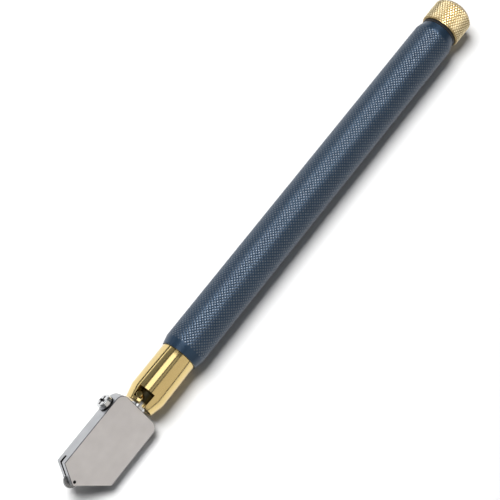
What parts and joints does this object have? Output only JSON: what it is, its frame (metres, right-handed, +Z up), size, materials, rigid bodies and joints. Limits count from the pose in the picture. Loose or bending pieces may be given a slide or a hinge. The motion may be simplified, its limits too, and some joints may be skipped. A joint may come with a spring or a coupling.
{
  "type": "pencil-grip oil glass cutter",
  "caption": "Pencil-grip glass cutter: oil-filled knurled handle, screw cap, bayonet ferrule, and a sprung, swivelling wide head that carries a small cutting wheel.",
  "frame": {"origin": "centre of the bounding box's underside, on the surface that the tool lies on", "axes": "+X along the tool towards the cap, +Z up from the surface; the tool lies on its handle and on one corner of its head, so the head's broad faces are turned about 33 degrees from level"},
  "size_m": [0.1766, 0.0162, 0.0127],
  "materials": {
    "blue_lacquer": "metallic blue lacquer over a fine diamond knurl",
    "polished_brass": "mirror polished",
    "satin_brass": "knurled, satin",
    "stud_brass": "turned",
    "plain_brass": "turned",
    "seal_rubber": "moulded, matte",
    "gasket_rubber": "moulded, matte",
    "satin_steel": "bead-blasted satin",
    "bright_steel": "bright plated",
    "plain_steel": "turned",
    "spring_steel": "drawn wire",
    "axle_steel": "ground",
    "black_washer": "blackened",
    "wick_fibre": "twisted cotton cord",
    "hard_metal": "ground hard metal"
  },
  "bodies": {
    "handle": {"handle_tube": "blue_lacquer", "ferrule": "polished_brass", "ferrule_seal": "seal_rubber", "valve_seat": "plain_brass", "guide_bush": "plain_brass", "spindle_seal": "seal_rubber", "return_spring": "spring_steel"},
    "gasket": {"cap_gasket": "gasket_rubber"},
    "cap": {"fill_cap": "satin_brass"},
    "thrust_washer": {"thrust_washer": "plain_steel"},
    "head": {"spindle": "plain_steel", "bayonet_studs": "stud_brass", "valve_seal": "seal_rubber", "valve_nut": "plain_brass", "wick": "wick_fibre", "head_body": "satin_steel", "head_screw": "bright_steel", "screw_washer": "black_washer", "wheel_axle": "axle_steel"},
    "wheel": {"cutting_wheel": "hard_metal"}
  },
  "joints": [
    {"name": "cap_lift", "type": "slide", "parent": "handle", "child": "gasket", "axis": [1, 0, 0], "range_m": [0, 0.0045]},
    {"name": "cap_turn", "type": "hinge", "parent": "gasket", "child": "cap", "pos_m": [0.0799, 0, 0.006], "axis": [1, 0, 0], "range_deg": [0, 2170]},
    {"name": "head_press", "type": "slide", "parent": "handle", "child": "thrust_washer", "axis": [1, 0, 0], "range_m": [0, 0.0006], "stiffness_N_per_m": 800, "springref_m": -0.003, "deforming": ["return_spring"]},
    {"name": "head_swivel", "type": "hinge", "parent": "thrust_washer", "child": "head", "pos_m": [-0.0583, 0, 0.006], "axis": [1, 0, 0], "range_deg": [-4, 4]},
    {"name": "wheel_spin", "type": "hinge", "parent": "head", "child": "wheel", "pos_m": [-0.0862, 0.0015, 0.00699], "axis": [0, 0.5494, -0.8355], "continuous": true}
  ],
  "couplings": [
    {"joint": "cap_turn", "follows": "cap_lift", "rad_per_m": 8377.6}
  ]
}
